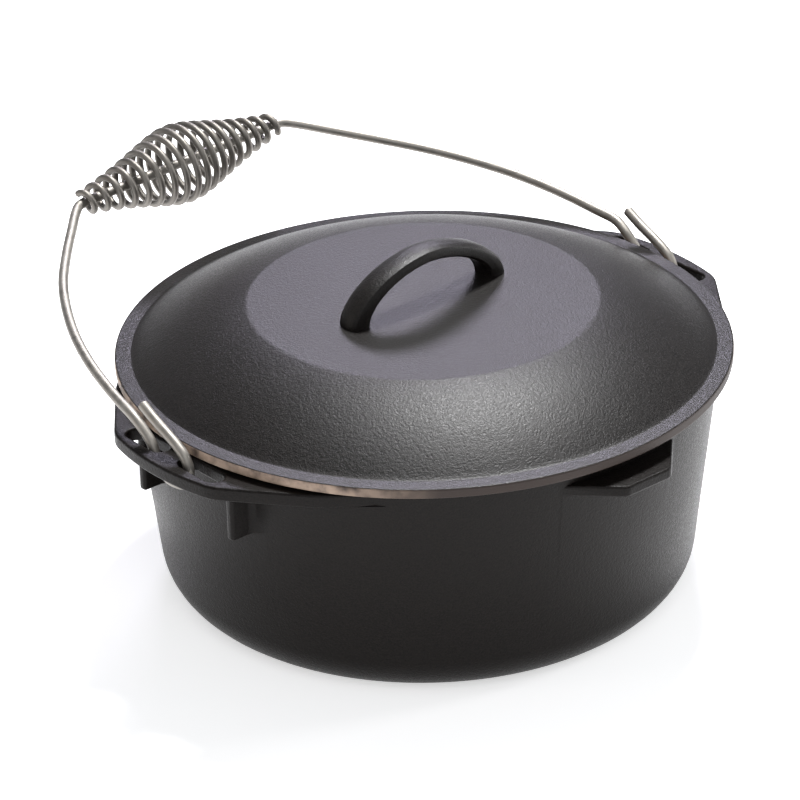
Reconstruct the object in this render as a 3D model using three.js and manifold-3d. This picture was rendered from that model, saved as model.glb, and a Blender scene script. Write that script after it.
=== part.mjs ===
// Cast iron dutch oven: pot, domed lid, wire bail and the coiled wire grip on the bail.
// Millimetres, +Z up. The origin is the centre of the pot's flat bottom, and the
// bail's pivot axis runs along X, so the two ears stand at +X and -X.
import * as THREE from 'three';
import * as BufferGeometryUtils from 'three/addons/utils/BufferGeometryUtils.js';
import Module from 'manifold-3d';

const wasm = await Module();
wasm.setup();

// ---- driving dimensions ----
const TURN_STEPS = 64;            // facets round each turned casting

const POT_HEIGHT = 127.5;         // bottom to rim
const RIM_RADIUS = 155;           // outside of the wall at the rim
const BASE_RADIUS = 140.2;        // outside of the wall carried down to the bottom plane
const BASE_CORNER = 25;           // round between the wall and the bottom
const WALL = 4.5;                 // cast wall
const FLOOR = 5;                  // cast bottom

const EAR_TOP = 126.6;            // flat top of the ears, just under the rim
const EAR_THICK = 7.5;
const EAR_REACH = 179.4;          // pivot centre line to the ear's outer edge
const SLOT_OUTER = 171.2;         // slots that the bail hooks pass through
const SLOT_INNER = 160.5;
const SLOT_END = 36.8;            // far end of each slot, from the ear's middle
const WEB_HALF = 6.5;             // bridge between the two slots, which the hook hangs on
const RIB_PLACE = 36;             // gussets under each ear, from the ear's middle
const RIB_THICK = 5;
const RIB_REACH = 161;
const RIB_BOTTOM = 90;

const TAB_TOP = 120.5;            // tilting tab at the front
const TAB_THICK = 6;
const TAB_REACH = 172;
const TAB_HALF = 14.8;

const LID_RADIUS = 162;
const LID_GAP = 0.3;              // the lid stands this far off the rim
const FLANGE_THICK = 5.3;
const DOME_FOOT = 152.3;          // where the dome leaves the flange
const FLANGE_RISE = 0.5;          // the flange climbs a little towards the dome
const PLATEAU_RADIUS = 91;        // flat middle of the lid
const PLATEAU_RISE = 25.2;        // above the flange's outer edge
const EDGE_SHARE = 0.5;           // share of the dome's fall that is straight from its top edge
const LIP_RADIUS = 149.2;         // ring under the lid that drops inside the rim
const LIP_WIDTH = 4;
const LIP_DROP = 4;

const HANDLE_SPAN = 53;           // half length of the lid's handle, outside
const HANDLE_RISE = 30;
const HANDLE_SPAN_IN = 41.5;      // the finger gap under it
const HANDLE_RISE_IN = 23;
const HANDLE_WIDTH = 15;
const HANDLE_POWER = 1.8;         // shape of the arch, between a parabola and an ellipse

const WIRE_RADIUS = 2.75;         // bail rod
const HOOK_PLACE = 167.4;         // plane of each hook, from the pot's axis
const BAIL_LIFT = 5.5;            // the bail's plane passes this far above the ear tops
const BAIL_TILT = 9.8;            // degrees above level where the bail rests
const GRIP_REACH = 206.5;         // pivot to the straight grip bar, along the bail's plane
const GRIP_BAR_HALF = 66;         // half length of the straight bar
const LEAN_FROM = 134;            // reach where the arms start to lean out of the bail's plane
const LEAN_RAISE = 1.3;           // lift of the bar's middle out of that plane
const LEAN_SLOPE = 0.041;         // climb of the bar towards +X
const BAIL_STEPS = 200;           // facets along the rod

const COIL_WIRE = 1.9;            // radius of the grip's wire
const COIL_HALF = 66.5;           // half length of the grip
const COIL_SHIFT = -1.8;          // the grip sits this far off the bail's middle
const COIL_MID_RADIUS = 20.7;     // wire centre line at the middle
const COIL_TAPER = 0.486;         // fall of the radius along each cone
const COIL_FLARE = 0.0025;        // easing of that fall towards the ends, with the square of the place
const COIL_CROWN = 14;            // length over which the two cones round into each other
const COIL_TURNS = 17.5;
const COIL_PHASE = -0.87;         // where the middle of the wire lies round the bar
const COIL_CROWDING = 1.9;        // shift that draws the turns together in the middle
const COIL_STEPS = 14;            // facets along each turn

// ---- helpers ----
// Closed three.js geometry to a manifold solid.
function solid(geometry) {
  const bare = geometry.index ? geometry.toNonIndexed() : geometry.clone();
  bare.deleteAttribute('normal');
  bare.deleteAttribute('uv');
  const merged = BufferGeometryUtils.mergeVertices(bare, 1e-4);
  return new wasm.Manifold(new wasm.Mesh({
    numProp: 3,
    vertProperties: new Float32Array(merged.attributes.position.array),
    triVerts: new Uint32Array(merged.index.array),
  }));
}

// Manifold solid back to a three.js geometry.
function geometryOf(body) {
  const mesh = body.getMesh();
  const geometry = new THREE.BufferGeometry();
  geometry.setAttribute('position', new THREE.BufferAttribute(mesh.vertProperties, 3));
  geometry.setIndex(new THREE.BufferAttribute(mesh.triVerts, 1));
  geometry.computeVertexNormals();
  return geometry;
}

// Closed profile of [radius, height] points turned about Z.
function turned(profile) {
  const points = profile.map(([radius, height]) => new THREE.Vector2(radius, height));
  return new THREE.LatheGeometry(points, TURN_STEPS).rotateX(Math.PI / 2);
}

// Outline in X and Y as a plate between two heights.
function plate(outline, bottom, top) {
  const shape = new THREE.Shape(outline.map(([x, y]) => new THREE.Vector2(x, y)));
  const plateGeometry = new THREE.ExtrudeGeometry(shape, { depth: top - bottom, bevelEnabled: false });
  return plateGeometry.translate(0, 0, bottom);
}

// Points of an arc about a centre, from one angle to another, in degrees.
function arc(centreX, centreY, radius, from, to, steps) {
  const points = [];
  for (let i = 0; i <= steps; i += 1) {
    const angle = THREE.MathUtils.degToRad(from + (to - from) * i / steps);
    points.push([centreX + radius * Math.cos(angle), centreY + radius * Math.sin(angle)]);
  }
  return points;
}

// Round rod along a curve.
function rod(curve, radius, sides, steps) {
  const section = new THREE.Shape(arc(0, 0, radius, 0, 360 - 360 / sides, sides - 1)
    .map(([x, y]) => new THREE.Vector2(x, y)));
  return new THREE.ExtrudeGeometry(section, { steps, bevelEnabled: false, extrudePath: curve });
}

function wallRadius(height) {
  return BASE_RADIUS + (RIM_RADIUS - BASE_RADIUS) * height / POT_HEIGHT;
}

// ---- pot ----
// The wall's slope from the upright sets where its round corner ends.
const wallSlope = THREE.MathUtils.radToDeg(Math.atan2(RIM_RADIUS - BASE_RADIUS, POT_HEIGHT));

// Quarter-round from the bottom plane up into the sloping wall, in radius and height.
function baseCorner(inset, bottom, radius) {
  const lean = THREE.MathUtils.degToRad(wallSlope);
  const centreHeight = bottom + radius;
  const centre = wallRadius(centreHeight) - inset - radius / Math.cos(lean);
  return arc(centre, centreHeight, radius, -90, -wallSlope, 6);
}

function potWall() {
  return turned([
    [0, 0],
    ...baseCorner(0, 0, BASE_CORNER),
    [RIM_RADIUS - 0.2, POT_HEIGHT - 1],
    [RIM_RADIUS - 1.2, POT_HEIGHT],
    [RIM_RADIUS - WALL + 1, POT_HEIGHT],
    [RIM_RADIUS - WALL, POT_HEIGHT - 1],
    ...baseCorner(WALL, FLOOR, BASE_CORNER - WALL).reverse(),
    [0, FLOOR],
  ]);
}

// Half of the ear's outline, from its middle round the corner and back into the wall.
function earOutline() {
  const half = [
    [EAR_REACH, 0],
    [EAR_REACH - 0.7, 15],
    [EAR_REACH - 2.6, 28.5],
    [EAR_REACH - 5.8, 39.5],
    [EAR_REACH - 11.5, 49.5],
    [155.5, 63.5],
    [145, 77],
    [132.5, 89.5],
    [118, 99.5],
  ];
  const inner = RIM_RADIUS - WALL / 2;
  const back = arc(0, 0, inner, 39.5, -39.5, 8);
  const lower = half.slice(1).reverse().map(([x, y]) => [x, -y]);
  return [...lower, ...half, ...back];
}

// Slots with round ends on both sides of the web.
function earSlot(side) {
  const end = (SLOT_OUTER - SLOT_INNER) / 2;
  const middle = (SLOT_OUTER + SLOT_INNER) / 2;
  const outline = [
    ...arc(middle, SLOT_END - end, end, 0, 180, 8),
    ...arc(middle, WEB_HALF + end, end, 180, 360, 8),
  ];
  return plate(outline.map(([x, y]) => [x, side * y]), EAR_TOP - 2 * EAR_THICK, EAR_TOP + 5);
}

function ear() {
  let body = solid(plate(earOutline(), EAR_TOP - EAR_THICK, EAR_TOP));
  for (const side of [1, -1]) {
    body = body.subtract(solid(earSlot(side)));
    const length = RIB_REACH - 130;
    const height = EAR_TOP - EAR_THICK / 2 - RIB_BOTTOM;
    const rib = new THREE.BoxGeometry(length, RIB_THICK, height);
    rib.translate(RIB_REACH - length / 2, side * RIB_PLACE, RIB_BOTTOM + height / 2);
    body = body.add(solid(rib));
  }
  return body;
}

function tab() {
  const side = TAB_REACH - 150;
  const outline = [
    [-TAB_HALF - side, -150], [-TAB_HALF - 2, -TAB_REACH + 2], [-TAB_HALF, -TAB_REACH],
    [TAB_HALF, -TAB_REACH], [TAB_HALF + 2, -TAB_REACH + 2], [TAB_HALF + side, -150],
  ];
  return solid(plate(outline, TAB_TOP - TAB_THICK, TAB_TOP));
}

function pot() {
  const rightEar = ear();
  const outside = rightEar.add(rightEar.mirror([1, 0, 0])).add(tab());
  const cavity = solid(turned([
    [0, FLOOR],
    ...baseCorner(WALL, FLOOR, BASE_CORNER - WALL),
    [RIM_RADIUS - WALL, POT_HEIGHT - 1],
    [RIM_RADIUS - WALL, POT_HEIGHT + 5],
    [0, POT_HEIGHT + 5],
  ]));
  return geometryOf(solid(potWall()).add(outside.subtract(cavity)));
}

// ---- lid ----
const FLANGE_BOTTOM = POT_HEIGHT + LID_GAP;
const FLANGE_TOP = FLANGE_BOTTOM + FLANGE_THICK;
const PLATEAU_TOP = FLANGE_TOP + PLATEAU_RISE;

// Dome from the flat middle down to its foot, lowered by an inset for the inside.
function dome(inset) {
  const points = [];
  const steps = 7;
  for (let i = 0; i <= steps; i += 1) {
    const s = i / steps;
    const radius = PLATEAU_RADIUS + (DOME_FOOT - PLATEAU_RADIUS) * s;
    const drop = EDGE_SHARE * s + (1 - EDGE_SHARE) * s * s;
    const height = PLATEAU_TOP - (PLATEAU_RISE - FLANGE_RISE) * drop;
    points.push([radius - inset * 0.55 * s, height - inset * (1 - 0.12 * s)]);
  }
  return points;
}

function lidShell() {
  const lipInner = LIP_RADIUS - LIP_WIDTH;
  return turned([
    [0, PLATEAU_TOP - WALL],
    ...dome(WALL).slice(0, -1).filter(([radius]) => radius < lipInner),
    [lipInner, FLANGE_BOTTOM],
    [lipInner + 0.5, FLANGE_BOTTOM - LIP_DROP],
    [LIP_RADIUS, FLANGE_BOTTOM - LIP_DROP],
    [LIP_RADIUS, FLANGE_BOTTOM],
    [LID_RADIUS - 0.6, FLANGE_BOTTOM],
    [LID_RADIUS, FLANGE_BOTTOM + 0.6],
    [LID_RADIUS, FLANGE_TOP - 0.8],
    [LID_RADIUS - 0.9, FLANGE_TOP],
    ...dome(0).reverse(),
    [0, PLATEAU_TOP],
  ]);
}

// Half superellipse of the handle's arch, from +X to -X.
function archPoints(span, rise, steps) {
  const points = [];
  for (let i = 0; i <= steps; i += 1) {
    const angle = Math.PI * i / steps;
    const c = Math.cos(angle);
    const s = Math.sin(angle);
    points.push([
      span * Math.sign(c) * Math.abs(c) ** (2 / HANDLE_POWER),
      rise * Math.abs(s) ** (2 / HANDLE_POWER),
    ]);
  }
  return points;
}

function lidHandle() {
  const root = 3;
  const outline = [
    [HANDLE_SPAN, -root],
    ...archPoints(HANDLE_SPAN, HANDLE_RISE, 20),
    [-HANDLE_SPAN, -root],
    [-HANDLE_SPAN_IN, -root],
    ...archPoints(HANDLE_SPAN_IN, HANDLE_RISE_IN, 16).reverse(),
    [HANDLE_SPAN_IN, -root],
  ];
  const handle = plate(outline, -HANDLE_WIDTH / 2, HANDLE_WIDTH / 2);
  return handle.rotateX(Math.PI / 2).translate(0, 0, PLATEAU_TOP);
}

function lid() {
  return geometryOf(solid(lidShell()).add(solid(lidHandle())));
}

// ---- bail ----
const tilt = THREE.MathUtils.degToRad(BAIL_TILT);

// Point of the bail, at a side distance and a reach from the pivot line. It lies on the bail's
// plane near the ears and leans out of it towards the bar.
function onBail(side, reach) {
  const share = Math.max(0, (reach - LEAN_FROM) / (GRIP_REACH - LEAN_FROM)) ** 2;
  const lean = share * (LEAN_RAISE + LEAN_SLOPE * side);
  const height = EAR_TOP + BAIL_LIFT + reach * Math.sin(tilt) + lean;
  return new THREE.Vector3(side, reach * Math.cos(tilt), height);
}

// Hook at one ear, from its free end down through one slot, under the web and up through the other.
const HOOK_POINTS = [
  [23, 20.6], [13.3, 15.6], [2.2, 10.8], [-5, 7.3], [-10.4, 3.6], [-13.4, -1.6], [-13, -7.6],
  [-9.2, -12.6], [-3, -14.5], [4.4, -14.2], [10.2, -10.6], [13.6, -5], [16.4, 0.2], [21.4, 4.8],
];

// Arm from the hook to the end of the grip bar, as side distance and reach.
const ARM_POINTS = [
  [167.6, 32], [165.6, 46], [162.2, 64], [157.6, 82], [150.2, 103],
  [139.2, 125.5], [125.6, 147], [107.6, 168.5], [88, 189.5],
  [GRIP_BAR_HALF + 11.5, GRIP_REACH - 6], [GRIP_BAR_HALF + 5.5, GRIP_REACH - 1.2],
  [GRIP_BAR_HALF, GRIP_REACH],
];

// Hook and arm on one side, from the free end to the grip bar.
function sidePoints(sign) {
  return [
    ...HOOK_POINTS.map(([y, z]) => new THREE.Vector3(sign * HOOK_PLACE, y, EAR_TOP + z)),
    ...ARM_POINTS.map(([side, reach]) => onBail(sign * side, reach)),
  ];
}

function bailCurve() {
  const right = sidePoints(1);
  const left = sidePoints(-1).reverse();
  const path = new THREE.CurvePath();
  path.add(new THREE.CatmullRomCurve3(right));
  path.add(new THREE.LineCurve3(right[right.length - 1], left[0]));
  path.add(new THREE.CatmullRomCurve3(left));
  return path;
}

// ---- grip ----
// Wire wound as two cones base to base, with its turns a little closer in the middle.
class GripCurve extends THREE.Curve {
  getPoint(t, target = new THREE.Vector3()) {
    const along = 2 * t - 1;
    const place = COIL_HALF * along - COIL_CROWDING * Math.sin(Math.PI * along);
    const fall = COIL_TAPER * (Math.hypot(place, COIL_CROWN) - COIL_CROWN);
    const radius = COIL_MID_RADIUS - fall + COIL_FLARE * place * place;
    const angle = Math.PI * COIL_TURNS * along + COIL_PHASE;
    const turn = new THREE.Vector3(-LEAN_SLOPE * Math.sin(angle), Math.cos(angle), Math.sin(angle));
    return target.copy(onBail(place + COIL_SHIFT, GRIP_REACH)).addScaledVector(turn, radius);
  }
}

// ---- assembly ----
function mesh(name, geometry, color, roughness, metalness) {
  const finish = new THREE.MeshStandardMaterial({ color, roughness, metalness });
  const piece = new THREE.Mesh(geometry, finish);
  piece.name = name;
  return piece;
}

const oven = new THREE.Group();
oven.add(mesh('pot', pot(), 0x2b2826, 0.55, 0.4));
oven.add(mesh('lid', lid(), 0x2e2b29, 0.5, 0.4));
oven.add(mesh('bail', rod(bailCurve(), WIRE_RADIUS, 8, BAIL_STEPS), 0xb4b2ac, 0.35, 0.9));
const coil = rod(new GripCurve(), COIL_WIRE, 6, COIL_STEPS * COIL_TURNS);
oven.add(mesh('grip_coil', coil, 0x8e8b84, 0.4, 0.9));

export default oven;
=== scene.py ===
"""Looks of a cast iron dutch oven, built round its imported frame.

The pot, the lid, the bail and the coiled grip are rebuilt as fine meshes that ride on
the frame's bodies. Lengths are in millimetres up to the mesh, and in metres from there.
"""

import logging
import math
from dataclasses import dataclass, field
from enum import Enum
from typing import Iterable, Sequence

import bmesh
import bpy
from mathutils import Matrix, Vector


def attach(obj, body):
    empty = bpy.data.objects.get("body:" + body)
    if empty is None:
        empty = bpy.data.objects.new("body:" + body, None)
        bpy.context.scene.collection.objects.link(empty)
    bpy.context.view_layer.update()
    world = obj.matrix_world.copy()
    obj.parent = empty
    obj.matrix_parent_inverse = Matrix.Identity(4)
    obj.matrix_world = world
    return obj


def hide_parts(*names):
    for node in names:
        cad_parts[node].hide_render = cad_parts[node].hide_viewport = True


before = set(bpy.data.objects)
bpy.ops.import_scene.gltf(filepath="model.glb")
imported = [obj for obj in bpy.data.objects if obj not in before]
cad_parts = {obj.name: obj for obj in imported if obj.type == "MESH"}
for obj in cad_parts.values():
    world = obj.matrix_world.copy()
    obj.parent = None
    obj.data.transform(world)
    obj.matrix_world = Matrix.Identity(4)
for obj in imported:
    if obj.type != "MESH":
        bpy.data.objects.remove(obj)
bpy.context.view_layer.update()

log = logging.getLogger("dutch_oven")

MM = 0.001
TURN = 2 * math.pi
SAME_PLACE = 1e-6
FOLD_TO_ROUND = math.radians(80)
FOLD_TO_KEEP_SHARP = math.radians(35)
MIX_SHARE, MIX_LOW, MIX_HIGH, MIX_RESULT = 0, 6, 7, 2
Point = tuple[float, float]
Corner = tuple[float, float, float]


# ---------------------------------------------------------------- shapes

def arc(centre: Point, radius: float, start: float, end: float, steps: int) -> list[Point]:
    """Points along an arc.

    Args:
        centre: The arc's centre.
        radius: Its radius.
        start: Its first angle, in degrees.
        end: Its last angle, in degrees.
        steps: How many straight pieces it is drawn in.

    Returns:
        The points, both ends included.
    """
    angles = [math.radians(start + (end - start) * i / steps) for i in range(steps + 1)]
    return [(centre[0] + radius * math.cos(a), centre[1] + radius * math.sin(a)) for a in angles]


def ring(sides: int) -> list[Point]:
    """A unit circle drawn with the given number of sides."""
    step = 360 / sides
    return arc((0, 0), 1, 0, 360 - step, sides - 1)


def rounded(corners: Sequence[Corner], closed: bool = False, steps: int = 6) -> list[Point]:
    """An outline whose corners are rounded.

    Args:
        corners: Each corner's two coordinates and the radius of its round, 0 for a plain point.
        closed: Whether the last corner joins the first.
        steps: How many straight pieces each round is drawn in.

    Returns:
        The outline's points.
    """
    points: list[Point] = []
    count = len(corners)
    for i, (x, y, radius) in enumerate(corners):
        at_end = not closed and i in (0, count - 1)
        if radius == 0 or at_end:
            points.append((x, y))
            continue
        here = Vector((x, y))
        back = (Vector(corners[i - 1][:2]) - here).normalized()
        ahead = (Vector(corners[(i + 1) % count][:2]) - here).normalized()
        half = back.angle(ahead) / 2
        middle = here + (back + ahead).normalized() * (radius / math.sin(half))
        first = here + back * (radius / math.tan(half)) - middle
        last = here + ahead * (radius / math.tan(half)) - middle
        for step in range(steps + 1):
            spoke = first.slerp(last, step / steps)
            points.append(tuple(middle + spoke.normalized() * radius))
    return points


def smooth_line(knots: Sequence[Vector], per_span: int) -> list[Vector]:
    """A centripetal Catmull-Rom curve through the knots.

    Args:
        knots: The points that it passes through.
        per_span: How many straight pieces each span is drawn in.

    Returns:
        The curve's points.
    """
    first = knots[0] * 2 - knots[1]
    last = knots[-1] * 2 - knots[-2]
    padded = [first, *knots, last]
    line: list[Vector] = []
    for a, b, c, d in zip(padded, padded[1:], padded[2:], padded[3:]):
        times = [0.0]
        for p, q in ((a, b), (b, c), (c, d)):
            times.append(times[-1] + math.sqrt((q - p).length))
        t0, t1, t2, t3 = times
        for step in range(per_span):
            t = t1 + (t2 - t1) * step / per_span
            ab = a.lerp(b, (t - t0) / (t1 - t0))
            bc = b.lerp(c, (t - t1) / (t2 - t1))
            cd = c.lerp(d, (t - t2) / (t3 - t2))
            abc = ab.lerp(bc, (t - t0) / (t2 - t0))
            bcd = bc.lerp(cd, (t - t1) / (t3 - t1))
            line.append(abc.lerp(bcd, (t - t1) / (t2 - t1)))
    line.append(knots[-1].copy())
    return line


def turned(profile: Sequence[Point], steps: int) -> bmesh.types.BMesh:
    """Spins a profile about the upright axis.

    Args:
        profile: Radius and height points, closed on itself or with both ends on the axis.
        steps: How many facets go round.

    Returns:
        A closed mesh.
    """
    bm = bmesh.new()
    verts = [bm.verts.new((radius * MM, 0, height * MM)) for radius, height in profile]
    edges = [bm.edges.new(pair) for pair in zip(verts, verts[1:])]
    bmesh.ops.spin(bm, geom=verts + edges, cent=(0, 0, 0), axis=(0, 0, 1), angle=TURN, steps=steps,
                   use_merge=True)
    bmesh.ops.remove_doubles(bm, verts=bm.verts, dist=SAME_PLACE)
    bmesh.ops.recalc_face_normals(bm, faces=bm.faces)
    return bm


def plate(outline: Sequence[Point], holes: Iterable[Sequence[Point]], bottom: float, top: float,
          edge_round: float) -> bmesh.types.BMesh:
    """A flat plate with holes and softened edges.

    Args:
        outline: Its outer edge.
        holes: The edge of each hole through it.
        bottom: Height of its underside.
        top: Height of its top.
        edge_round: Radius along all its edges.

    Returns:
        A closed mesh.
    """
    bm = bmesh.new()
    edges = []
    for loop in (outline, *holes):
        verts = [bm.verts.new((x * MM, y * MM, bottom * MM)) for x, y in loop]
        edges += [bm.edges.new(pair) for pair in zip(verts, [*verts[1:], verts[0]])]
    flat = bmesh.ops.triangle_fill(bm, edges=edges, use_beauty=True)
    faces = [item for item in flat["geom"] if isinstance(item, bmesh.types.BMFace)]
    raised = bmesh.ops.extrude_face_region(bm, geom=faces)["geom"]
    bmesh.ops.translate(bm, vec=(0, 0, (top - bottom) * MM),
                        verts=[item for item in raised if isinstance(item, bmesh.types.BMVert)])
    bmesh.ops.recalc_face_normals(bm, faces=bm.faces)
    rims = [edge for edge in bm.edges
            if edge.is_manifold and edge.calc_face_angle() > FOLD_TO_ROUND
            and abs(edge.verts[0].co.z - edge.verts[1].co.z) < SAME_PLACE]
    bmesh.ops.bevel(bm, geom=rims, offset=edge_round * MM, segments=4, profile=0.5, affect="EDGES",
                    material=-1)
    return bm


def swept(section: Sequence[Point], stations: Sequence[Matrix]) -> bmesh.types.BMesh:
    """Extrudes a section from station to station.

    Args:
        section: The section's points, in the station's own first two axes.
        stations: One transform per ring, which may scale the section.

    Returns:
        A closed mesh with an end face at both ends.
    """
    bm = bmesh.new()
    spots = {bm.verts.new(stations[0] @ Vector((x, y, 0))): Vector((x, y, 0)) for x, y in section}
    first_end = bm.faces.new(list(spots))
    face = first_end
    for station in stations[1:]:
        grown = bmesh.ops.extrude_face_region(bm, geom=[face])["geom"]
        if face is not first_end:
            bmesh.ops.delete(bm, geom=[face], context="FACES_ONLY")
        face = next(item for item in grown if isinstance(item, bmesh.types.BMFace))
        moved = {}
        for vert in face.verts:
            ends = (edge.other_vert(vert) for edge in vert.link_edges)
            moved[vert] = spots[next(end for end in ends if end in spots)]
        for vert, spot in moved.items():
            vert.co = station @ spot
        spots = moved
    bmesh.ops.recalc_face_normals(bm, faces=bm.faces)
    return bm


def along(line: Sequence[Vector], radius: float) -> list[Matrix]:
    """Stations for a round wire along a line, with softened cut ends.

    Args:
        line: The wire's centre line, in millimetres.
        radius: The wire's radius.

    Returns:
        Stations that scale a unit circle, in metres, and never twist.
    """
    soften = [(0.0, 0.72), (0.14, 0.92), (0.34, 1.0)]
    head = [(line[0].lerp(line[1], depth * radius / (line[1] - line[0]).length), size)
            for depth, size in soften]
    tail = [(line[-1].lerp(line[-2], depth * radius / (line[-2] - line[-1]).length), size)
            for depth, size in reversed(soften)]
    rings = [*head, *((point, 1.0) for point in line[1:-1]), *tail]
    stations = []
    side = Vector((0, 0, 1))
    for i, (point, size) in enumerate(rings):
        before = rings[max(i - 1, 0)][0]
        after = rings[min(i + 1, len(rings) - 1)][0]
        ahead = (after - before).normalized()
        side = (side - ahead * side.dot(ahead)).normalized()
        across = ahead.cross(side)
        scale = radius * size * MM
        stations.append(Matrix((
            (across.x * scale, side.x * scale, ahead.x, point.x * MM),
            (across.y * scale, side.y * scale, ahead.y, point.y * MM),
            (across.z * scale, side.z * scale, ahead.z, point.z * MM),
            (0, 0, 0, 1),
        )))
    return stations


def to_object(name: str, bm: bmesh.types.BMesh) -> bpy.types.Object:
    """Turns a bmesh into an object at the origin, shaded smooth."""
    mesh = bpy.data.meshes.new(name)
    for face in bm.faces:
        face.smooth = True
    bm.to_mesh(mesh)
    bm.free()
    piece = bpy.data.objects.new(name, mesh)
    bpy.context.scene.collection.objects.link(piece)
    return piece


def settle(piece: bpy.types.Object) -> None:
    """Applies a piece's modifiers to its mesh."""
    graph = bpy.context.evaluated_depsgraph_get()
    mesh = bpy.data.meshes.new_from_object(piece.evaluated_get(graph), depsgraph=graph)
    piece.modifiers.clear()
    piece.data = mesh


def fuse(body: bpy.types.Object, additions: Iterable[bmesh.types.BMesh]) -> None:
    """Joins solids into one casting.

    Args:
        body: The object that they are added to.
        additions: Closed meshes that overlap it.
    """
    for bm in additions:
        extra = to_object("addition", bm)
        union = body.modifiers.new("union", "BOOLEAN")
        union.operation = "UNION"
        union.solver = "MANIFOLD"
        union.object = extra
        settle(body)
        bpy.data.objects.remove(extra)


def even_shading(piece: bpy.types.Object) -> None:
    """Keeps the flat faces of a casting flat beside its small rounds."""
    piece.data.set_sharp_from_angle(angle=FOLD_TO_KEEP_SHARP)
    weighted = piece.modifiers.new("weighted", "WEIGHTED_NORMAL")
    weighted.weight = 60
    weighted.keep_sharp = True
    settle(piece)


# ---------------------------------------------------------------- finishes

def linear(hex_colour: str) -> tuple[float, float, float, float]:
    """Turns an sRGB hex colour into linear values with full alpha."""
    values = [int(hex_colour[i:i + 2], 16) / 255 for i in (1, 3, 5)]
    straight = [v / 12.92 if v <= 0.04045 else ((v + 0.055) / 1.055) ** 2.4 for v in values]
    return (*straight, 1.0)


def per_metre(size_mm: float) -> float:
    """Pattern scale whose features are about the given size."""
    return 1 / (size_mm * MM)


def add_node(tree: bpy.types.NodeTree, kind: str, settings: dict | None = None,
             links: dict | None = None) -> bpy.types.Node:
    """Adds a shader node.

    Args:
        tree: The material's node tree.
        kind: The node's type.
        settings: Values for its own properties or its input sockets.
        links: Output sockets to join to its inputs, by input name.

    Returns:
        The new node.
    """
    node = tree.nodes.new(kind)
    for key, value in (settings or {}).items():
        if isinstance(key, str) and hasattr(node, key):
            setattr(node, key, value)
        else:
            node.inputs[key].default_value = value
    for key, socket in (links or {}).items():
        tree.links.new(socket, node.inputs[key])
    return node


def new_finish(name: str) -> tuple[bpy.types.Material, bpy.types.Node]:
    """Starts a material.

    Args:
        name: Its name.

    Returns:
        The material and its shader.
    """
    material = bpy.data.materials.new(name)
    material.use_nodes = True
    return material, material.node_tree.nodes["Principled BSDF"]


def blend(tree: bpy.types.NodeTree, share: bpy.types.NodeSocket, low: str,
          high: str) -> bpy.types.NodeSocket:
    """Mixes two colours.

    Args:
        tree: The material's node tree.
        share: How much of the second colour shows.
        low: The first colour, as sRGB hex.
        high: The second colour.

    Returns:
        The mixed colour's socket.
    """
    mix = add_node(tree, "ShaderNodeMix", {"data_type": "RGBA"})
    mix.inputs[MIX_LOW].default_value = linear(low)
    mix.inputs[MIX_HIGH].default_value = linear(high)
    tree.links.new(share, mix.inputs[MIX_SHARE])
    return mix.outputs[MIX_RESULT]


@dataclass(frozen=True)
class SeasonedIron:
    """Sand-cast iron with a baked oil seasoning.

    The eye sees a dark brown-black satin skin whose fine sand grain breaks every
    reflection into specks, with slow swells from the mould below it.
    """

    name: str
    specular: float
    dark: str = "#080605"
    light: str = "#181412"
    roughness: Point = (0.3, 0.5)
    grain_mm: float = 0.8
    pit_mm: float = 1.9
    swell_mm: float = 30.0
    grain_depth_mm: float = 0.2
    pit_depth_mm: float = 0.08
    swell_depth_mm: float = 0.12

    def make(self) -> bpy.types.Material:
        """Builds the material."""
        material, shader = new_finish(self.name)
        tree = material.node_tree
        shader.inputs["Specular IOR Level"].default_value = self.specular
        place = add_node(tree, "ShaderNodeTexCoord").outputs["Object"]
        grain = add_node(tree, "ShaderNodeTexNoise",
                         {"Scale": per_metre(self.grain_mm), "Detail": 2.0, "Roughness": 0.6},
                         {"Vector": place})
        pits = add_node(tree, "ShaderNodeTexVoronoi",
                        {"feature": "SMOOTH_F1", "Scale": per_metre(self.pit_mm),
                         "Smoothness": 0.6}, {"Vector": place})
        swell = add_node(tree, "ShaderNodeTexNoise",
                         {"Scale": per_metre(self.swell_mm), "Detail": 2.0}, {"Vector": place})
        speck = add_node(tree, "ShaderNodeMapRange", {"From Min": 0.35, "From Max": 0.65},
                         {"Value": grain.outputs["Fac"]}).outputs["Result"]
        colour = blend(tree, speck, self.dark, self.light)
        tree.links.new(colour, shader.inputs["Base Color"])
        satin = add_node(tree, "ShaderNodeMapRange",
                         {"To Min": self.roughness[0], "To Max": self.roughness[1]},
                         {"Value": speck})
        tree.links.new(satin.outputs["Result"], shader.inputs["Roughness"])
        waves = add_node(tree, "ShaderNodeBump",
                         {"Strength": 1.0, "Distance": self.swell_depth_mm * MM},
                         {"Height": swell.outputs["Fac"]})
        dimples = add_node(tree, "ShaderNodeBump",
                           {"Strength": 1.0, "Distance": self.pit_depth_mm * MM},
                           {"Height": pits.outputs["Distance"], "Normal": waves.outputs["Normal"]})
        sand = add_node(tree, "ShaderNodeBump",
                        {"Strength": 1.0, "Distance": self.grain_depth_mm * MM},
                        {"Height": grain.outputs["Fac"], "Normal": dimples.outputs["Normal"]})
        tree.links.new(sand.outputs["Normal"], shader.inputs["Normal"])
        return material


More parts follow.
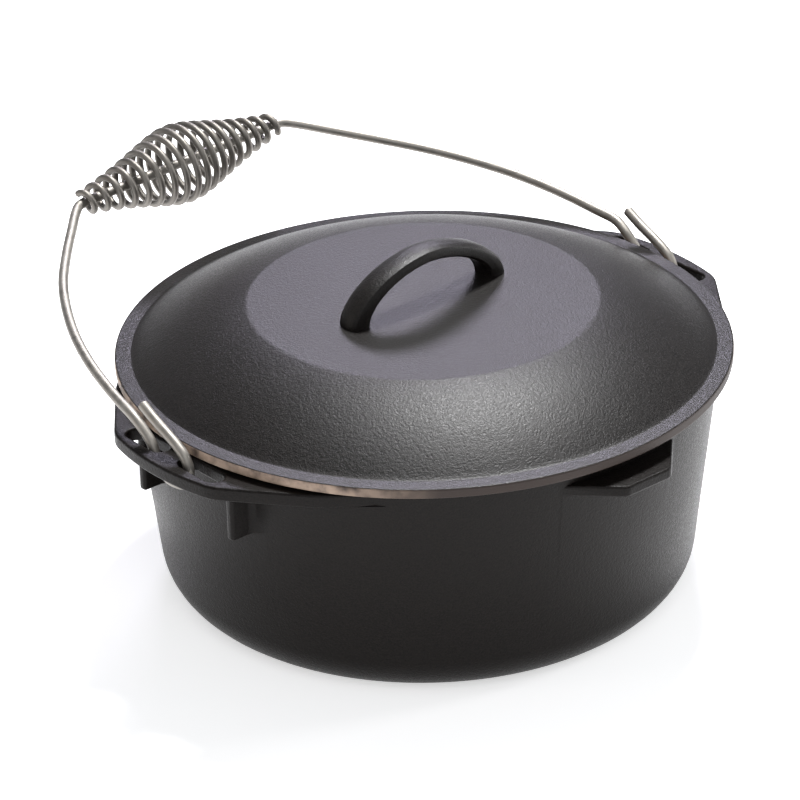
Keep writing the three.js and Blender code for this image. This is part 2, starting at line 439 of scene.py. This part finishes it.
@dataclass(frozen=True)
class GroundEdge:
    """Iron ground smooth round the lid's rim, then toned by heat.

    The eye sees a thin band without grain, pale tan where the seasoning wore off and
    dark brown towards the front.
    """

    name: str = "cast_iron_ground_heat_toned"
    brown: str = "#332a26"
    tan: str = "#a08c7c"
    roughness: float = 0.55
    specular: float = 0.25
    streak_mm: float = 9.0
    fade_from: float = -128.0
    fade_to: float = -84.0

    def make(self) -> bpy.types.Material:
        """Builds the material."""
        material, shader = new_finish(self.name)
        tree = material.node_tree
        shader.inputs["Roughness"].default_value = self.roughness
        shader.inputs["Specular IOR Level"].default_value = self.specular
        place = add_node(tree, "ShaderNodeTexCoord").outputs["Object"]
        streaks = add_node(tree, "ShaderNodeTexNoise",
                           {"Scale": per_metre(self.streak_mm), "Detail": 4.0}, {"Vector": place})
        depth = add_node(tree, "ShaderNodeSeparateXYZ", None, {"Vector": place})
        # Darker brown towards the front: the tan fades out from Y = -84 mm and is gone at Y = -128 mm.
        fade = add_node(tree, "ShaderNodeMapRange",
                        {"From Min": self.fade_from * MM, "From Max": self.fade_to * MM},
                        {"Value": depth.outputs["Y"]})
        tone = add_node(tree, "ShaderNodeMath", {"operation": "MULTIPLY"})
        tree.links.new(fade.outputs["Result"], tone.inputs[0])
        wear = add_node(tree, "ShaderNodeMapRange", {"From Min": 0.3, "From Max": 0.6},
                        {"Value": streaks.outputs["Fac"]})
        tree.links.new(wear.outputs["Result"], tone.inputs[1])
        colour = blend(tree, tone.outputs["Value"], self.brown, self.tan)
        tree.links.new(colour, shader.inputs["Base Color"])
        return material


@dataclass(frozen=True)
class PlatedWire:
    """Drawn steel wire with a dull bright plating.

    The eye sees a light warm grey metal, satin rather than mirror bright, with faint
    handling marks that vary its gloss.
    """

    name: str
    bright: str
    dull: str
    roughness: Point = (0.46, 0.6)
    mark_mm: float = 5.0

    def make(self) -> bpy.types.Material:
        """Builds the material."""
        material, shader = new_finish(self.name)
        tree = material.node_tree
        shader.inputs["Metallic"].default_value = 1.0
        place = add_node(tree, "ShaderNodeTexCoord").outputs["Object"]
        marks = add_node(tree, "ShaderNodeTexNoise",
                         {"Scale": per_metre(self.mark_mm), "Detail": 5.0}, {"Vector": place})
        colour = blend(tree, marks.outputs["Fac"], self.dull, self.bright)
        tree.links.new(colour, shader.inputs["Base Color"])
        satin = add_node(tree, "ShaderNodeMapRange",
                         {"From Min": 0.35, "From Max": 0.65, "To Min": self.roughness[0],
                          "To Max": self.roughness[1]}, {"Value": marks.outputs["Fac"]})
        tree.links.new(satin.outputs["Result"], shader.inputs["Roughness"])
        return material


# ---------------------------------------------------------------- pot

@dataclass
class Pot:
    """The pot's single casting: bowl, two slotted ears with gussets, and the tilting tab."""

    height: float = 127.5
    rim_radius: float = 155.0
    base_radius: float = 140.2
    base_corner: float = 25.0
    wall: float = 4.5
    floor: float = 5.0
    ear_top: float = 126.6
    ear_thick: float = 7.5
    ear_reach: float = 179.4
    ear_bow: float = 159.0
    slot: tuple[float, float] = (160.5, 171.2)
    slot_end: float = 36.8
    web_half: float = 6.5
    rib_place: float = 36.0
    rib_thick: float = 5.0
    rib_reach: float = 161.0
    rib_bottom: float = 90.0
    tab_top: float = 120.5
    tab_thick: float = 6.0
    tab_reach: float = 172.0
    tab_half: float = 14.8
    tab_root: float = 148.0
    edge: float = 1.4

    def wall_radius(self, height: float) -> float:
        """Outside radius of the wall at a height."""
        return self.base_radius + (self.rim_radius - self.base_radius) * height / self.height

    def bowl(self) -> bmesh.types.BMesh:
        """The turned bowl, open at the top."""
        inside = self.wall_radius(self.floor) - self.wall
        corners = [
            (0, 0, 0),
            (self.base_radius, 0, self.base_corner),
            (self.rim_radius, self.height, 1.3),
            (self.rim_radius - self.wall, self.height, 1.3),
            (inside, self.floor, self.base_corner - self.wall),
            (0, self.floor, 0),
        ]
        return turned(rounded(corners, steps=10), 256)

    def ear(self) -> bmesh.types.BMesh:
        """The right-hand ear with its two slots."""
        middle = self.ear_reach - self.ear_bow
        bow = arc((middle, 0), self.ear_bow, -12, 12, 20)
        lower = [(bow[0][0], bow[0][1], 0), (174.7, -38.9, 25), (138.5, -85.4, 90),
                 (112, -103.6, 0)]
        side = rounded(lower, steps=10)[1:]
        back = arc((0, 0), self.rim_radius - self.wall / 2, -42, 42, 28)
        upper = [(x, -y) for x, y in side]
        outline = [*bow, *upper, *reversed(back), *reversed(side)]
        half = (self.slot[1] - self.slot[0]) / 2
        centre = (self.slot[1] + self.slot[0]) / 2
        holes = []
        for sign in (1, -1):
            hole = [*arc((centre, self.slot_end - half), half, 0, 180, 12),
                    *arc((centre, self.web_half + half), half, 180, 360, 12)]
            holes.append([(x, sign * y) for x, y in hole])
        return plate(outline, holes, self.ear_top - self.ear_thick, self.ear_top, self.edge)

    def rib(self, side: int) -> bmesh.types.BMesh:
        """One gusset under the right-hand ear, flared where it grows out of the wall."""
        half = self.rib_thick / 2
        inner = math.sqrt((self.wall_radius(self.rib_bottom) - 1.5) ** 2 - self.rib_place ** 2)
        corners = [
            (self.rib_reach, -half, 1.8), (self.rib_reach, half, 1.8), (inner + 4, half, 5),
            (inner - 1, half + 6, 0), (inner - 1, -half - 6, 0), (inner + 4, -half, 5),
        ]
        outline = [(x, y + side * self.rib_place) for x, y in rounded(corners, closed=True)]
        return plate(outline, (), self.rib_bottom, self.ear_top - self.ear_thick / 2, self.edge)

    def tab(self) -> bmesh.types.BMesh:
        """The tilting tab on the front."""
        side = self.tab_reach - self.tab_root
        corners = [
            (-self.tab_half - side, -self.tab_root, 0), (-self.tab_half, -self.tab_reach, 5),
            (self.tab_half, -self.tab_reach, 5), (self.tab_half + side, -self.tab_root, 0),
        ]
        inner = self.wall_radius(self.tab_top) - self.wall / 2
        reach = math.degrees(math.asin((self.tab_half + side) / inner))
        back = arc((0, 0), inner, -90 + reach, -90 - reach, 12)
        return plate([*rounded(corners), *back], (), self.tab_top - self.tab_thick, self.tab_top,
                     self.edge)

    def build(self) -> bpy.types.Object:
        """Builds the whole casting."""
        piece = to_object("pot_casting", self.bowl())
        additions = [self.ear(), self.rib(1), self.rib(-1)]
        mirrored = []
        for bm in additions:
            twin = bm.copy()
            bmesh.ops.scale(twin, vec=(-1, 1, 1), verts=twin.verts)
            bmesh.ops.recalc_face_normals(twin, faces=twin.faces)
            mirrored.append(twin)
        fuse(piece, [*additions, *mirrored, self.tab()])
        even_shading(piece)
        return piece


# ---------------------------------------------------------------- lid

@dataclass
class Lid:
    """The lid's single casting: flange, dome, flat top, locating ring and loop handle."""

    radius: float = 162.0
    bottom: float = 127.8
    edge_top: float = 133.1
    dome_foot: float = 152.3
    flange_rise: float = 0.5
    plateau: float = 91.0
    rise: float = 25.2
    edge_share: float = 0.5
    wall: float = 4.5
    lip_radius: float = 149.2
    lip_width: float = 4.0
    lip_drop: float = 4.0
    span: float = 53.0
    span_in: float = 41.5
    crown: float = 30.0
    crown_in: float = 23.0
    strap: float = 15.0
    power: float = 1.8
    dome_steps: int = 24
    handle_steps: int = 56

    @property
    def top(self) -> float:
        """Height of the flat top."""
        return self.edge_top + self.rise

    def dome(self, inset: float) -> list[Corner]:
        """The dome's curve from the flat top down to its foot.

        Args:
            inset: How far inside the outer skin the curve lies.

        Returns:
            Radius and height points with no round.
        """
        points = []
        fall = self.rise - self.flange_rise
        width = self.dome_foot - self.plateau
        bend = 1 - self.edge_share
        for i in range(self.dome_steps + 1):
            s = i / self.dome_steps
            radius = self.plateau + width * s
            height = self.top - fall * (self.edge_share * s + bend * s * s)
            slope = -fall * (self.edge_share + 2 * bend * s) / width
            length = math.hypot(1, slope)
            points.append((radius + inset * slope / length, height - inset / length, 0.0))
        return points

    def shell(self) -> bmesh.types.BMesh:
        """The turned lid without its handle."""
        lip_in = self.lip_radius - self.lip_width
        inner = [point for point in self.dome(self.wall) if point[0] < lip_in - 1]
        corners = [
            (0, self.top - self.wall, 0),
            *inner,
            (lip_in, self.bottom + 6, 0),
            (lip_in + 0.4, self.bottom - self.lip_drop, 1.2),
            (self.lip_radius, self.bottom - self.lip_drop, 1.2),
            (self.lip_radius + 0.3, self.bottom, 0.8),
            (self.radius, self.bottom, 1.0),
            (self.radius, self.edge_top, 1.0),
            (self.dome_foot + 1.1, self.edge_top + self.flange_rise - 0.3, 0.8),
            *reversed(self.dome(0)),
            (0, self.top, 0),
        ]
        return turned(rounded(corners, steps=4), 288)

    def arch(self, t: float, span: float, crown: float) -> Vector:
        """Point on one of the handle's arches, from its right foot to its left.

        Args:
            t: Share of the way along, from 0 to 1.
            span: The arch's half length.
            crown: Its height.

        Returns:
            The point, in millimetres.
        """
        angle = math.pi * t
        power = 2 / self.power
        x = math.copysign(abs(math.cos(angle)) ** power, math.cos(angle))
        return Vector((span * x, 0, self.top + crown * math.sin(angle) ** power))

    def handle(self) -> bmesh.types.BMesh:
        """The loop handle: a strap with a flat inside and a crowned outside."""
        half = self.strap / 2
        section = [(-half, 0.16), (-half + 1.2, 0), (half - 1.2, 0), (half, 0.16), (half, 0.6),
                   (half - 0.9, 0.82), (half * 0.55, 0.96), (0, 1.0), (-half * 0.55, 0.96),
                   (-half + 0.9, 0.82), (-half, 0.6)]
        stations = []
        for i in range(self.handle_steps + 1):
            t = i / self.handle_steps
            inner = self.arch(t, self.span_in, self.crown_in)
            outer = self.arch(t, self.span, self.crown)
            if i in (0, self.handle_steps):
                inner.z = outer.z = self.top - 2
            across = (outer - inner) * MM
            inner = inner * MM
            stations.append(Matrix((
                (0, across.x, across.z, inner.x),
                (MM, 0, 0, 0),
                (0, across.z, -across.x, inner.z),
                (0, 0, 0, 1),
            )))
        return swept(section, stations)

    def build(self) -> bpy.types.Object:
        """Builds the whole casting."""
        piece = to_object("lid_casting", self.shell())
        fuse(piece, [self.handle()])
        even_shading(piece)
        return piece


# ---------------------------------------------------------------- bail and grip

@dataclass
class Bail:
    """The bent steel rod: a straight grip bar, two bowed arms and a hook at each end."""

    radius: float = 2.75
    hook_plane: float = 167.4
    ear_top: float = 126.6
    lift: float = 5.5
    tilt: float = 9.8
    reach: float = 206.5
    bar_half: float = 66.0
    lean_from: float = 134.0
    lean_raise: float = 1.3
    lean_slope: float = 0.041
    hook: tuple[Point, ...] = (
        (23, 20.6), (13.3, 15.6), (2.2, 10.8), (-5, 7.3), (-10.4, 3.6), (-13.4, -1.6),
        (-13, -7.6), (-9.2, -12.6), (-3, -14.5), (4.4, -14.2), (10.2, -10.6), (13.6, -5),
        (16.4, 0.2), (21.4, 4.8),
    )
    arm: tuple[Point, ...] = (
        (167.6, 32), (165.6, 46), (162.2, 64), (157.6, 82), (150.2, 103), (139.2, 125.5),
        (125.6, 147), (107.6, 168.5), (88, 189.5),
    )

    def on_plane(self, side: float, reach: float) -> Vector:
        """Point of the rod, at a side distance and a reach from its pivot.

        Args:
            side: Distance from the middle, to the right.
            reach: Distance from the pivot, on the bail's plane.

        Returns:
            The point, leaning out of the plane as it nears the bar.
        """
        tilt = math.radians(self.tilt)
        share = max(0.0, (reach - self.lean_from) / (self.reach - self.lean_from)) ** 2
        lean = share * (self.lean_raise + self.lean_slope * side)
        return Vector((side, reach * math.cos(tilt),
                       self.ear_top + self.lift + reach * math.sin(tilt) + lean))

    def side_line(self, sign: int) -> list[Vector]:
        """The rod's line on one side, from its free end to the end of the bar.

        Args:
            sign: 1 for the right side, -1 for the left.

        Returns:
            The line's points.
        """
        knots = [Vector((sign * self.hook_plane, y, self.ear_top + z)) for y, z in self.hook]
        bend = [(self.bar_half + 11.5, self.reach - 6), (self.bar_half + 5.5, self.reach - 1.2),
                (self.bar_half, self.reach)]
        knots += [self.on_plane(sign * side, reach) for side, reach in (*self.arm, *bend)]
        return smooth_line(knots, 8)

    def build(self) -> bpy.types.Object:
        """Builds the rod from one hook's free end to the other's."""
        line = [*self.side_line(1), *reversed(self.side_line(-1))]
        return to_object("bail_rod", swept(ring(24), along(line, self.radius)))


class Winding(Enum):
    """Which way a coil turns as it runs towards +X."""

    RIGHT_HAND = 1
    LEFT_HAND = -1


@dataclass
class CoilGrip:
    """The grip's spring wire, wound as two cones base to base on the bail's bar."""

    bail: Bail
    wire: float = 1.9
    half: float = 66.5
    shift: float = -1.8
    mid_radius: float = 20.7
    taper: float = 0.486
    crown: float = 14.0
    flare: float = 0.0025
    turns: float = 17.5
    phase: float = -0.87
    crowding: float = 1.9
    steps_per_turn: int = 44
    winding: Winding = Winding.RIGHT_HAND

    def build(self) -> bpy.types.Object:
        """Winds the wire."""
        steps = round(self.turns * self.steps_per_turn)
        line = []
        for i in range(steps + 1):
            s = 2 * i / steps - 1
            place = self.half * s - self.crowding * math.sin(math.pi * s)
            fall = self.taper * (math.hypot(place, self.crown) - self.crown)
            radius = self.mid_radius - fall + self.flare * place * place
            angle = self.winding.value * math.pi * self.turns * s + self.phase
            turn = Vector((-self.bail.lean_slope * math.sin(angle), math.cos(angle),
                           math.sin(angle)))
            line.append(self.bail.on_plane(place + self.shift, self.bail.reach) + turn * radius)
        return to_object("grip_coil_wire", swept(ring(12), along(line, self.wire)))


# ---------------------------------------------------------------- studio

@dataclass(frozen=True)
class SoftBox:
    """A rectangular studio light aimed at a point."""

    name: str
    place: tuple[float, float, float]
    aim: tuple[float, float, float]
    size: tuple[float, float]
    power: float
    colour: str = "#ffffff"

    def build(self) -> None:
        """Adds the light."""
        lamp = bpy.data.lights.new(self.name, "AREA")
        lamp.shape = "RECTANGLE"
        lamp.size, lamp.size_y = self.size
        lamp.energy = self.power
        lamp.color = linear(self.colour)[:3]
        box = bpy.data.objects.new(self.name, lamp)
        bpy.context.scene.collection.objects.link(box)
        box.location = self.place
        ray = Vector(self.aim) - Vector(self.place)
        box.rotation_euler = ray.to_track_quat("-Z", "Y").to_euler()


@dataclass
class Studio:
    """Pale floor, soft light and the camera."""

    eye: Vector = field(default_factory=lambda: Vector((-1.3011, -1.5377, 1.1511)))
    right: Vector = field(default_factory=lambda: Vector((0.75963, -0.64995, -0.02317)))
    up: Vector = field(default_factory=lambda: Vector((0.31675, 0.33862, 0.88600)))
    lens: float = 193.92
    floor_half: float = 6.0
    floor_glow: float = 0.55
    surround: float = 0.4

    def build(self) -> None:
        """Adds the camera, floor, world and lights."""
        self.tone()
        self.camera()
        self.floor()
        self.world()
        for light in self.lights():
            light.build()

    def tone(self) -> None:
        """Keeps white paper white."""
        bpy.context.scene.view_settings.view_transform = "Standard"

    def camera(self) -> None:
        """Sets the camera."""
        lens = bpy.data.cameras.new("camera")
        lens.lens = self.lens
        lens.sensor_width = 36.0
        lens.clip_start = 0.05
        lens.clip_end = 50.0
        camera = bpy.data.objects.new("camera", lens)
        bpy.context.scene.collection.objects.link(camera)
        back = self.right.cross(self.up)
        camera.matrix_world = Matrix((
            (self.right.x, self.up.x, back.x, self.eye.x),
            (self.right.y, self.up.y, back.y, self.eye.y),
            (self.right.z, self.up.z, back.z, self.eye.z),
            (0, 0, 0, 1),
        ))
        bpy.context.scene.camera = camera

    def floor(self) -> None:
        """Lays the floor under the pot."""
        bm = bmesh.new()
        bmesh.ops.create_grid(bm, x_segments=1, y_segments=1, size=self.floor_half)
        sheet = to_object("floor", bm)
        paint, shader = new_finish("matt_white_board")
        shader.inputs["Base Color"].default_value = linear("#f4f4f4")
        shader.inputs["Emission Color"].default_value = linear("#ffffff")
        shader.inputs["Emission Strength"].default_value = self.floor_glow
        shader.inputs["Roughness"].default_value = 0.9
        shader.inputs["Specular IOR Level"].default_value = 0.1
        sheet.data.materials.append(paint)

    def world(self) -> None:
        """Sets a plain pale surround."""
        world = bpy.data.worlds.new("surround")
        bpy.context.scene.world = world
        world.use_nodes = True
        tree = world.node_tree
        tree.nodes["Background"].inputs["Color"].default_value = linear("#e8ecf2")
        tree.nodes["Background"].inputs["Strength"].default_value = self.surround

    def lights(self) -> list[SoftBox]:
        """The soft boxes round the set."""
        top = (0.0, 0.0, 0.14)
        return [
            SoftBox("back_key", (1.75, 2.05, 1.75), top, (0.8, 0.45), 30, "#efe9ff"),
            SoftBox("overhead", (0.61, 0.35, 1.8), top, (0.3, 0.3), 62),
            SoftBox("left_strip", (-2.0, 0.9, 0.5), top, (0.5, 1.4), 5, "#fff1e4"),
            SoftBox("right_strip", (2.0, -1.0, 0.6), top, (0.4, 1.4), 20),
            SoftBox("front_fill", (-1.6, -2.2, 2.4), top, (2.0, 2.0), 30),
        ]


# ---------------------------------------------------------------- assembly

def dress(piece: bpy.types.Object, finishes: Sequence[bpy.types.Material], body: str, node: str) -> None:
    """Finishes a piece and puts it on its body.

    Args:
        piece: The piece.
        finishes: Its materials, the main one first.
        body: The body that it rides on.
        node: The frame's node that it stands for.
    """
    piece.data.materials.clear()
    for finish in finishes:
        piece.data.materials.append(finish)
    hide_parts(node)
    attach(piece, body)
    log.info("%s: %d faces on %s", piece.name, len(piece.data.polygons), body)


def edge_band(lid: bpy.types.Object, sizes: Lid) -> None:
    """Gives the lid's outer side the second finish."""
    for face in lid.data.polygons:
        centre = face.center / MM
        face.material_index = int(math.hypot(centre.x, centre.y) > sizes.radius - 0.35
                                  and centre.z < sizes.edge_top - 0.4)


def main() -> None:
    """Builds the object and its studio."""
    logging.basicConfig(level=logging.INFO, format="%(name)s %(message)s")
    Studio().build()
    dress(Pot().build(), [SeasonedIron("sand_cast_iron_pot_seasoned", 0.12).make()], "pot",
          "pot")
    sizes = Lid()
    lid = sizes.build()
    dress(lid, [SeasonedIron("sand_cast_iron_lid_seasoned", 0.24).make(), GroundEdge().make()],
          "lid", "lid")
    edge_band(lid, sizes)
    rod = Bail()
    plating = PlatedWire("steel_rod_dull_plated", "#9a9690", "#7d7973")
    dress(rod.build(), [plating.make()], "bail", "bail")
    spring = PlatedWire("spring_wire_dull_plated", "#898580", "#65615b")
    dress(CoilGrip(rod).build(), [spring.make()], "grip", "grip_coil")


if __name__ == "__main__":
    main()
